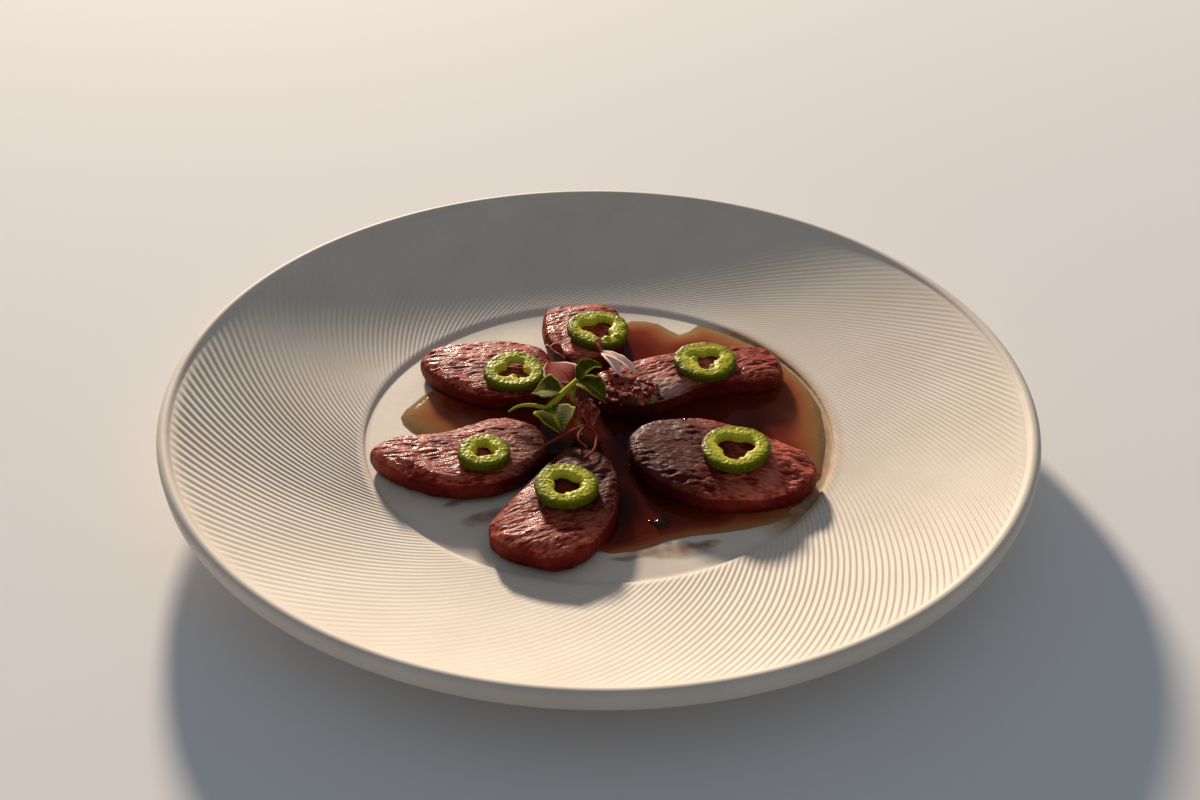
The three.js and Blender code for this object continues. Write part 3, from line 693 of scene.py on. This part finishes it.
def raw_tuna():
    """Raw tuna cut across its muscle: deep rose red, paler where fibre ends and thin fat stand out,
    faintly translucent, darkened where the sauce has soaked in and by painted shade round the middle of
    the pool and at the foot, lighter on top and darker on the sides as painted light and shade, paler
    under a painted sheen on a few patches, under a wet film that catches small sharp glints and is
    dulled where the sauce has soaked in and the shade is painted."""
    material = new_material("wet raw tuna")
    place = add_node(material, "TexCoord").outputs["Object"]
    fibre = add_node(material, "Attribute", attribute_name="fibre").outputs["Fac"]
    patch = add_node(material, "TexNoise", {"Vector": place, "Scale": 110, "Detail": 3})
    soak_and_shade = add_node(material, "Attribute", attribute_name="soak_and_shade").outputs["Fac"]
    blend = add_node(material, "Math", {0: fibre, 1: patch.outputs["Fac"]}, operation="ADD")
    halved = add_node(material, "Math", {0: blend.outputs["Value"], 1: 0.5}, operation="MULTIPLY")
    flesh = add_node(material, "ValToRGB", {"Fac": halved.outputs["Value"]},
                     stops=[(0.3, "#4c0c07"), (0.74, "#d06c55"), (0.52, "#842417")])
    # The soak mark darkens the flesh towards this colour: sauce soaked in, and painted shade
    share = add_node(material, "Math", {0: soak_and_shade, 1: 0.82}, operation="MULTIPLY")
    tone = add_node(material, "Mix", {0: share.outputs["Value"], MIX_A: flesh.outputs["Color"],
                                      MIX_B: linear("#310a05")}, data_type="RGBA")
    pale = add_node(material, "Attribute", attribute_name="pale").outputs["Fac"]
    # Towards this pale colour on the pale patches: partly pale flesh, partly a painted sheen
    whole = add_node(material, "Mix", {0: pale, MIX_A: tone.outputs[MIX_RESULT],
                                       MIX_B: linear("#e3bfb0")}, data_type="RGBA")
    strand = add_node(material, "Attribute", attribute_name="strand").outputs["Vector"]
    thread = add_node(material, "TexNoise", {"Vector": strand, "Scale": 1, "Detail": 3})
    bump = add_node(material, "Bump", {"Height": thread.outputs["Fac"], "Strength": 0.9,
                                       "Distance": 0.36 * MM})
    wet = add_node(material, "MapRange", {"Value": patch.outputs["Fac"], "From Min": 0.42,
                                          "From Max": 0.62, "To Min": 0.04, "To Max": 0.32})
    # The wet film is dulled under the soak mark, which is partly painted shade
    dull_where_soaked_and_shaded = add_node(material, "MapRange", {"Value": soak_and_shade, "To Min": 1, "To Max": 0.4})
    film = add_node(material, "Math", {0: wet.outputs["Result"], 1: dull_where_soaked_and_shaded.outputs["Result"]},
                    operation="MULTIPLY")
    return finish_material(material, {
        "Base Color": whole.outputs[MIX_RESULT], "Roughness": 0.5, "IOR": 1.38,
        "Specular IOR Level": 0.1, "Subsurface Weight": 0.12, "Subsurface Radius": (1, 0.3, 0.2),
        "Subsurface Scale": 1 * MM, "Coat Weight": film.outputs["Value"], "Coat Roughness": 0.13,
        "Coat IOR": 1.35, "Normal": bump.outputs["Normal"], "Coat Normal": bump.outputs["Normal"],
    })


def chilli_mesh(number):
    """A ring with its pith lumps grown in, granular like cut flesh, let down onto its slice. Its
    depth runs from 0 at the skin to 1 at the hole, measured in the ring's own plane."""
    work = node_copy(f"chilli_ring_{number}")
    for ring, centre, radius in PITH_LUMPS:
        if ring == number:
            bmesh.ops.create_icosphere(work, subdivisions=3, radius=radius * MM,
                                       matrix=Matrix.Translation(Vector(centre) * MM))
    mesh = fine_skin(work, RING_VOXEL, 3)
    points, normals = points_of(mesh)
    x, y, z = points.T
    swell = noise_at(x / RING_SWELL, y / RING_SWELL, z / RING_SWELL + RING_NOISE_STEP * number)
    grain = noise_at(x / RING_GRAIN, y / RING_GRAIN, z / RING_GRAIN)
    centre = points.mean(0)
    axes = np.linalg.eigh(np.cov((points - centre).T))[1]
    flat = (points - centre) @ axes[:, 1:]
    radius = np.hypot(*flat.T)
    share = np.arctan2(flat[:, 1], flat[:, 0]) / math.tau + 0.5
    sector = (share * RING_SECTORS).astype(int) % RING_SECTORS
    outer = np.array([radius[sector == s].max() for s in range(RING_SECTORS)])
    outer = (outer + np.roll(outer, 1) + np.roll(outer, -1)) / 3
    depth = (outer[sector] - radius) / RING_WALL
    cut = smooth_step(depth * RING_CUT_RATE)
    relief = RING_SWELL_RELIEF * swell + RING_GRAIN_RELIEF * grain * mix(RING_SKIN_GRAIN, 1, cut)
    points += normals * relief[:, None]
    points[:, 2] -= RING_DROPS[number - 1]
    put_points(mesh, points)
    note(mesh, "depth", depth)
    return mesh


def green_chilli():
    """A cut green chilli: green skin with a soft sheen outside, paler juicy flesh within, and yellow
    green pith round the hole, all faintly translucent. Its cells are drawn under a millimetre
    across, coarser than real ones, which wouldn't show."""
    material = new_material("cut green chilli")
    place = add_node(material, "TexCoord").outputs["Object"]
    depth = add_node(material, "Attribute", attribute_name="depth").outputs["Fac"]
    cells = add_node(material, "TexNoise", {"Vector": place, "Scale": 1300, "Detail": 2})
    spread = add_node(material, "MapRange", {"Value": cells.outputs["Fac"], "To Min": -0.22,
                                             "To Max": 0.22})
    blend = add_node(material, "Math", {0: depth, 1: spread.outputs["Result"]}, operation="ADD")
    tone = add_node(material, "ValToRGB", {"Fac": blend.outputs["Value"]},
                    stops=[(0.0, "#4f5403"), (1.0, "#cdc840"), (0.14, "#777a06"), (0.45, "#a3a112")])
    bump = add_node(material, "Bump", {"Height": cells.outputs["Fac"], "Strength": 0.4,
                                       "Distance": 0.12 * MM})
    return finish_material(material, {
        "Base Color": tone.outputs["Color"], "Roughness": 0.4, "IOR": 1.4,
        "Specular IOR Level": 0.12, "Subsurface Weight": 0.12, "Subsurface Radius": (0.8, 1, 0.3),
        "Subsurface Scale": 1 * MM, "Coat Weight": 0.07, "Coat Roughness": 0.28, "Coat IOR": 1.35,
        "Normal": bump.outputs["Normal"],
    })


def slices_tree():
    """The CAD slices as one tree, in millimetres, to measure how near a point is to flesh."""
    work = node_copy(*[f"tuna_slice_{number}" for number in range(1, 7)])
    bmesh.ops.scale(work, vec=(1 / MM, 1 / MM, 1 / MM), verts=work.verts)
    tree = BVHTree.FromBMesh(work)
    work.free()
    return tree


def sauce_mesh():
    """The pool with a thin free edge, a film climbing the flesh it touches, and no gap there. Its
    depth runs from 0 at the free edge to 1 where the liquid is deep, where painted shade and a painted
    reflection darken it near the flesh, and where painted shade darkens the middle of the pool."""
    mesh = fine_skin(node_copy("sauce_pool"), SAUCE_VOXEL, 2)
    points, normals = points_of(mesh)
    flesh = slices_tree()
    hits = [flesh.find_nearest(point) for point in points]
    gap = np.array([hit[3] for hit in hits])
    towards = np.array([hit[0] for hit in hits]) - points
    free = points[(np.abs(normals[:, 2]) < SIDE_SLOPE) & (gap > FREE_GAP)]
    shore = KDTree(len(free))
    for index, point in enumerate(free):
        shore.insert((point[0], point[1], 0), index)
    shore.balance()
    inland = np.array([shore.find((point[0], point[1], 0))[2] for point in points])
    low, high = points[:, 2].min(), points[:, 2].max()
    level = (points[:, 2] - low) / (high - low)
    ripple = RIPPLE * noise_at(points[:, 0] / RIPPLE_SIZE, points[:, 1] / RIPPLE_SIZE, RIPPLE_LAYER)
    top = SAUCE_DEPTH * (1 - np.exp(-inland / EDGE_TAPER)) + ripple
    top = np.maximum(top, LEAST_DEPTH) + MENISCUS_RISE * np.exp(-gap / MENISCUS_REACH)
    points[:, 2] = WELL_FLOOR + SAUCE_LIFT + level * top
    towards[:, 2] = 0
    pull = smooth_step((FLESH_REACH - gap) / (FLESH_REACH - FULL_PULL_GAP))
    points += towards * (pull * (1 + FLESH_OVERLAP / np.maximum(gap, LEAST_GAP)))[:, None]
    put_points(mesh, points)
    cloud = CLOUD * noise_at(points[:, 0] / CLOUD_SIZE, points[:, 1] / CLOUD_SIZE, CLOUD_LAYER)
    leftward = smooth_step((-points[:, 0] - LEFT_BAND) / LEFT_FADE)
    reach = mix(COLOUR_REACH, LEFT_COLOUR_REACH, leftward)
    reach = mix(FRONT_COLOUR_REACH, reach, smooth_step((points[:, 1] + FRONT_BAND) / FRONT_FADE))
    # Painted shade and a painted reflection of the dark flesh: the sauce darker near it
    painted_shade_near_flesh = PAINTED_SHADE_NEAR_FLESH * np.exp(-gap / PAINTED_SHADE_NEAR_FLESH_REACH)
    depth = np.clip(1 - np.exp(-inland / reach) + painted_shade_near_flesh + cloud, 0, 1)
    # The middle of the pool darker by the soak mark: gathered juices, and painted shade where the slices
    # and herbs would shade it
    note(mesh, "depth", mix(depth, soaked_and_shaded(points[:, 0], points[:, 1]), JUICE_AND_SHADE_SHARE))
    return mesh


def citrus_soy():
    """Citrus and soy sauce: a clear brown liquid, amber where it thins out over the glaze and nearly
    black where it is deep, darker by painted shade and reflection near the flesh and by painted shade in
    the middle of the pool, with a mirror-smooth surface."""
    material = new_material("citrus soy sauce")
    depth = add_node(material, "Attribute", attribute_name="depth").outputs["Fac"]
    tone = add_node(material, "ValToRGB", {"Fac": depth},
                    stops=[(0.0, "#a08257"), (1.0, "#240503"), (0.09, "#ad8251"), (0.24, "#a85f3a"),
                           (0.35, "#853823"), (0.5, "#66220f"), (0.75, "#571a0b")])
    cover = add_node(material, "ValToRGB", {"Fac": depth},
                     stops=[(0.0, 0.45), (0.45, 0.98), (0.09, 0.72), (0.24, 0.88)])
    return finish_material(material, {
        "Base Color": tone.outputs["Color"], "Roughness": 0.05, "IOR": 1.35,
        "Specular IOR Level": 0.12, "Alpha": cover.outputs["Color"],
    })


def add_leaf(work, base, tip, width, fold, arch, ripple, crumple=0):
    """Adds a thin leaf's upper face, with a sunk midrib, side veins and waving edges. Its points
    know how far they are from the midrib, 0 to 1, and how near a vein."""
    edge = work.verts.layers.float.get("edge") or work.verts.layers.float.new("edge")
    vein = work.verts.layers.float.get("vein") or work.verts.layers.float.new("vein")
    base, tip = Vector(base), Vector(tip)
    along = (tip - base).normalized()
    side = Vector((0, 0, 1)).cross(along).normalized()
    up = along.cross(side)
    grid = bmesh.ops.create_grid(work, x_segments=LEAF_ROWS, y_segments=LEAF_COLUMNS, size=0.5)
    for point in grid["verts"]:
        t = point.co.x + 0.5
        across = 2 * point.co.y
        out = abs(across)
        notch = 1 + LEAF_NOTCH * out ** 3 * math.sin(LEAF_NOTCHES * t + LEAF_NOTCH_SKEW * across)
        half_width = width / 2 * mix(LEAF_END_WIDTH, 1, math.sin(math.pi * t ** LEAF_BROADEST)) * notch
        ribs = math.cos(math.tau * LEAF_SIDE_VEINS * (t - LEAF_VEIN_SLANT * out)) ** LEAF_VEIN_SHARPNESS
        ribs = ribs * (1 - out) * min(1, 4 * out)
        midrib = math.exp(-((across / LEAF_MIDRIB_WIDTH) ** 2))
        lift = fold * out * half_width + ripple * out * math.sin(LEAF_RIPPLES * t + 2 * across)
        lift -= LEAF_VEIN_SINK * width * (midrib + LEAF_SIDE_VEIN_SINK * ribs)
        place = base.lerp(tip, t) + up * (arch * math.sin(math.pi * t) + lift)
        place += side * across * half_width * math.cos(fold)
        if crumple:
            place += crumple * noise.noise_vector(place / CRUMPLE_SIZE)
        point.co = place * MM
        point[edge] = out
        point[vein] = LEAF_VEIN * max(midrib, LEAF_SIDE_VEIN_TONE * ribs)


def add_stems(work, stems):
    """Adds tapering round stems swept through their points, in the colour of veins."""
    vein = work.verts.layers.float.get("vein") or work.verts.layers.float.new("vein")
    curve = bpy.data.curves.new("work", "CURVE")
    curve.dimensions = "3D"
    curve.bevel_depth = MM
    curve.bevel_resolution = 4
    curve.use_fill_caps = True
    for points, start, end in stems:
        spline = curve.splines.new("BEZIER")
        spline.bezier_points.add(len(points) - 1)
        for index, (knot, point) in enumerate(zip(spline.bezier_points, points)):
            knot.co = Vector(point) * MM
            knot.handle_left_type = knot.handle_right_type = "AUTO"
            knot.radius = mix(start, end, index / (len(points) - 1))
    holder = bpy.data.objects.new("work", curve)
    bpy.context.scene.collection.objects.link(holder)
    bpy.context.view_layer.update()
    swept = bpy.data.meshes.new_from_object(holder.evaluated_get(bpy.context.evaluated_depsgraph_get()))
    work.from_mesh(swept)
    work.verts.ensure_lookup_table()
    for point in work.verts[-len(swept.vertices):]:
        point[vein] = 1
    bpy.data.objects.remove(holder)
    bpy.data.curves.remove(curve)
    bpy.data.meshes.remove(swept)


def herb_mesh(stems, leaves, crumple=0, knob=None):
    """Leaves given a thickness, with their stems, and a round knob if one is asked for."""
    work = bmesh.new()
    for leaf in leaves:
        add_leaf(work, *leaf, crumple=crumple)
    bmesh.ops.solidify(work, geom=work.faces, thickness=LEAF_THICKNESS * MM)
    if stems:
        add_stems(work, stems)
    if knob:
        lump = bmesh.ops.create_icosphere(work, subdivisions=4, radius=BLOSSOM_KNOB_RADIUS * MM,
                                          matrix=Matrix.Translation(Vector(knob) * MM))
        vein = work.verts.layers.float["vein"]
        for point in lump["verts"]:
            point.co += noise.noise_vector(point.co / (KNOB_LUMP_SIZE * MM)) * KNOB_LUMPS * MM
            point[vein] = KNOB_VEIN
    return mesh_from(work)


def herb_leaf(name, face, mottle, veins, rim, lit_edge_and_streak_ramp, translucence=0.2):
    """A thin leaf: its face mottled, its veins and edge lighter, letting some light through. The
    lit-edge-and-streak ramp runs from midrib to edge and says how far the face takes the rim's colour:
    on a leaf that lighter edge is a painted highlight, on a petal it draws real pale streaks."""
    material = new_material(name)
    place = add_node(material, "TexCoord").outputs["Object"]
    edge = add_node(material, "Attribute", attribute_name="edge").outputs["Fac"]
    vein = add_node(material, "Attribute", attribute_name="vein").outputs["Fac"]
    spots = add_node(material, "TexNoise", {"Vector": place, "Scale": 700, "Detail": 4})
    body = add_node(material, "ValToRGB", {"Fac": spots.outputs["Fac"]},
                    stops=[(0.35, face), (0.68, mottle)])
    lines = add_node(material, "Mix", {0: vein, MIX_A: body.outputs["Color"], MIX_B: linear(veins)},
                     data_type="RGBA")
    # The rim's colour along a leaf's edge is a painted highlight; on a petal this ramp gives real streaks
    pale = add_node(material, "ValToRGB", {"Fac": edge}, stops=lit_edge_and_streak_ramp)
    tone = add_node(material, "Mix", {0: pale.outputs["Color"], MIX_A: lines.outputs[MIX_RESULT],
                                      MIX_B: linear(rim)}, data_type="RGBA")
    bump = add_node(material, "Bump", {"Height": spots.outputs["Fac"], "Strength": 0.3,
                                       "Distance": 0.15 * MM})
    return finish_material(material, {
        "Base Color": tone.outputs[MIX_RESULT], "Roughness": 0.6, "IOR": 1.42,
        "Specular IOR Level": 0.05, "Subsurface Weight": translucence,
        "Subsurface Radius": (0.8, 1, 0.3), "Subsurface Scale": 0.5 * MM,
        "Normal": bump.outputs["Normal"],
    })


def crumbs_mesh():
    """Finely chopped chilli and herb scattered on the inner end of the second slice."""
    chance = random.Random(CRUMB_SEED)
    surface = node_copy("tuna_slice_2")
    tree = BVHTree.FromBMesh(surface)
    surface.free()
    work = bmesh.new()
    tint = work.verts.layers.float.new("tint")
    for _ in range(CRUMB_COUNT):
        reach = math.sqrt(chance.random())
        turn = chance.uniform(0, math.tau)
        x = CRUMB_CENTRE[0] + CRUMB_REACH[0] * reach * math.cos(turn)
        y = CRUMB_CENTRE[1] + CRUMB_REACH[1] * reach * math.sin(turn)
        size = chance.uniform(*CRUMB_SIZES)
        colour = chance.random()
        twist = chance.uniform(0, math.tau)
        spin = Matrix.Rotation(twist, 4, (CRUMB_TILT * chance.random(), CRUMB_TILT * chance.random(), 1))
        length = size * chance.uniform(*CRUMB_STRETCH)
        shape = Matrix.Diagonal((length, size, size * chance.uniform(*CRUMB_FLATNESS), 1))
        hit = tree.ray_cast(Vector((x, y, ABOVE_FOOD)) * MM, Vector((0, 0, -1)))[0]
        if hit is None:
            continue
        lump = bmesh.ops.create_icosphere(
            work, subdivisions=3, radius=MM,
            matrix=Matrix.Translation(hit + Vector((0, 0, CRUMB_LIFT * size * MM))) @ spin @ shape,
        )
        for point in lump["verts"]:
            point.co += noise.noise_vector(point.co / (CRUMB_LUMP_SIZE * MM)) * CRUMB_LUMPS * size * MM
            point[tint] = colour
    return mesh_from(work)


def chopped_garnish():
    """Chopped red chilli with some green: moist little pieces of mixed colour."""
    material = new_material("chopped chilli and herb")
    tint = add_node(material, "Attribute", attribute_name="tint").outputs["Fac"]
    tone = add_node(material, "ValToRGB", {"Fac": tint},
                    stops=[(0.0, "#5c190f"), (1.0, "#a9aa40"), (0.3, "#842c1e"), (0.6, "#a84939"),
                           (0.9, "#bd6452"), (0.94, "#7b8026")])
    return finish_material(material, {
        "Base Color": tone.outputs["Color"], "Roughness": 0.45, "IOR": 1.38,
        "Specular IOR Level": 0.08, "Coat Weight": 0.03, "Coat Roughness": 0.2, "Coat IOR": 1.35,
    })


def drops_mesh():
    """Loose round drops of sauce, flattened by their weight."""
    work = bmesh.new()
    for x, y, z, radius in DROPS:
        shape = Matrix.Diagonal((radius, radius * DROP_WIDTH, radius * DROP_HEIGHT, 1))
        bmesh.ops.create_icosphere(work, subdivisions=4, radius=MM,
                                   matrix=Matrix.Translation(Vector((x, y, z)) * MM) @ shape)
    return mesh_from(work)


def sauce_drop():
    """Sauce standing in round drops: near black, each with one small sharp glint of the light."""
    material = new_material("round sauce drop")
    return finish_material(material, {
        "Base Color": linear("#2a0b05"), "Roughness": 0.08, "IOR": 1.35, "Specular IOR Level": 0.5,
    })


def smears_mesh():
    """Thin smears of sauce with uneven outlines, drying on the well's glaze."""
    work = bmesh.new()
    for x, y, long, short, turn in SMEARS:
        place = (Matrix.Translation(Vector((x, y, WELL_FLOOR + SAUCE_LIFT)) * MM)
                 @ Matrix.Rotation(math.radians(turn), 4, "Z")
                 @ Matrix.Diagonal((long, short, SMEAR_THICKNESS, 1)))
        blob = bmesh.ops.create_icosphere(work, subdivisions=5, radius=MM, matrix=place)
        for point in blob["verts"]:
            sway = noise.noise_vector(point.co / (SMEAR_SWAY_SIZE * MM)) * SMEAR_SWAY * MM
            point.co += Vector((sway.x, sway.y, 0))
    mesh = mesh_from(work)
    height = np.abs(points_of(mesh)[0][:, 2] - WELL_FLOOR - SAUCE_LIFT) / SMEAR_THICKNESS
    note(mesh, "cover", SMEAR_COVER * height ** 2)
    return mesh


def sauce_smear():
    """Sauce dried to a brown haze on the glaze, thinning to nothing at its edges."""
    material = new_material("dried sauce smear")
    place = add_node(material, "TexCoord").outputs["Object"]
    cover = add_node(material, "Attribute", attribute_name="cover").outputs["Fac"]
    cloud = add_node(material, "TexNoise", {"Vector": place, "Scale": 300, "Detail": 3})
    share = add_node(material, "Math", {0: cover, 1: cloud.outputs["Fac"]}, operation="MULTIPLY")
    return finish_material(material, {
        "Base Color": linear("#8a5424"), "Roughness": 0.35, "IOR": 1.35,
        "Specular IOR Level": 0.2, "Alpha": share.outputs["Value"],
    })


def build_camera():
    data = bpy.data.cameras.new("photo camera")
    data.lens = LENS_MM
    data.sensor_width = SENSOR_MM
    data.clip_start = 0.01
    data.clip_end = 100
    back = Vector((0, -math.cos(CAMERA_ELEVATION), math.sin(CAMERA_ELEVATION)))
    right = Vector((1, 0, 0))
    forward = -back
    up = right.cross(forward)
    axes = Matrix((right, up, back)).transposed()
    turns = (Matrix.Rotation(-CAMERA_YAW, 3, "Y") @ Matrix.Rotation(CAMERA_PITCH, 3, "X")
             @ Matrix.Rotation(CAMERA_ROLL, 3, "Z"))
    camera = bpy.data.objects.new("photo camera", data)
    place = Matrix.Translation(CAMERA_TARGET + back * CAMERA_DISTANCE)
    camera.matrix_world = place @ (axes @ turns).to_4x4()
    bpy.context.scene.collection.objects.link(camera)
    bpy.context.scene.camera = camera


def build_light():
    """A low warm key from behind on the left, and an even pale fill from all round."""
    data = bpy.data.lights.new("key", "AREA")
    data.shape = "DISK"
    data.size = KEY_SIZE
    data.energy = KEY_POWER
    data.color = linear(KEY_COLOUR)[:3]
    key = bpy.data.objects.new("key", data)
    towards = Vector((
        math.cos(KEY_AZIMUTH) * math.cos(KEY_ELEVATION),
        math.sin(KEY_AZIMUTH) * math.cos(KEY_ELEVATION),
        math.sin(KEY_ELEVATION),
    ))
    key.location = towards * KEY_DISTANCE
    key.rotation_mode = "QUATERNION"
    key.rotation_quaternion = towards.to_track_quat("Z", "Y")
    bpy.context.scene.collection.objects.link(key)
    world = bpy.data.worlds.new("fill")
    world.use_nodes = True
    background = world.node_tree.nodes["Background"]
    background.inputs["Color"].default_value = linear(FILL_COLOUR)
    background.inputs["Strength"].default_value = FILL_STRENGTH
    bpy.context.scene.world = world
    bpy.context.scene.view_settings.view_transform = "Standard"


def build_floor():
    material = new_material("pale matt floor")
    finish_material(material, {"Base Color": linear(FLOOR_COLOUR), "Roughness": 0.9})
    work = bmesh.new()
    bmesh.ops.create_grid(work, x_segments=1, y_segments=1, size=FLOOR_SIZE / 2)
    mesh = bpy.data.meshes.new("floor")
    work.to_mesh(mesh)
    work.free()
    mesh.materials.append(material)
    floor = bpy.data.objects.new("floor", mesh)
    bpy.context.scene.collection.objects.link(floor)


noise.seed_set(NOISE_SEED)
build_camera()
build_light()
build_floor()
new_piece("ribbed_plate", plate_mesh(), stoneware_glaze(), ["plate"])
tuna = raw_tuna()
chilli = green_chilli()
for number in range(1, 7):
    new_piece(f"tuna_{number}", tuna_mesh(number), tuna, [f"tuna_slice_{number}"])
    new_piece(f"chilli_{number}", chilli_mesh(number), chilli, [f"chilli_ring_{number}"])
soy = citrus_soy()
new_piece("sauce", sauce_mesh(), soy, ["sauce_pool"])
new_piece("sauce_drops", drops_mesh(), sauce_drop())
new_piece("sauce_smears", smears_mesh(), sauce_smear())
# The green herb's face colours are darkened as painted shade, and its pale rim colour is a painted
# highlight along the leaves' edges
green = herb_leaf("fresh green herb", "#3a3708", "#58560d", "#b0b235", "#adb032", ((0.84, 0.0), (1.0, 1.0)))
new_piece("green_herb", herb_mesh(GREEN_STEMS, GREEN_LEAVES), green, ["green_sprig"])
# The red leaf's and the bud's pale rim colours are painted highlights along their edges
red = herb_leaf("red herb leaf", "#8c2c20", "#a04031", "#a2483a", "#f3d8cc", ((0.82, 0.0), (0.96, 1.0)))
bud = herb_leaf("crumpled red bud", "#76221a", "#b25446", "#963c2c", "#b85f4e", ((0.8, 0.0), (1.0, 0.8)))
new_piece("red_herb", herb_mesh(RED_STEMS, RED_BUD, BUD_CRUMPLE), bud, ["red_sprig"])
new_piece("red_leaves", herb_mesh((), RED_LEAVES), red, ["red_leaf"])
streaks = ((0.0, 0.0), (1.0, 1.0), (0.1, 1.0), (0.3, 0.1), (0.45, 1.0), (0.62, 0.15), (0.78, 1.0))
petal = herb_leaf("streaked petal", "#e3988a", "#f2b6a8", "#b04a3c", "#ffe4da", streaks, 0.5)
blossom = herb_mesh(BLOSSOM_STEMS, BLOSSOM_PETALS, knob=BLOSSOM_KNOB)
new_piece("blossom_petals", blossom, petal, ["blossom"])
new_piece("chopped_garnish", crumbs_mesh(), chopped_garnish())
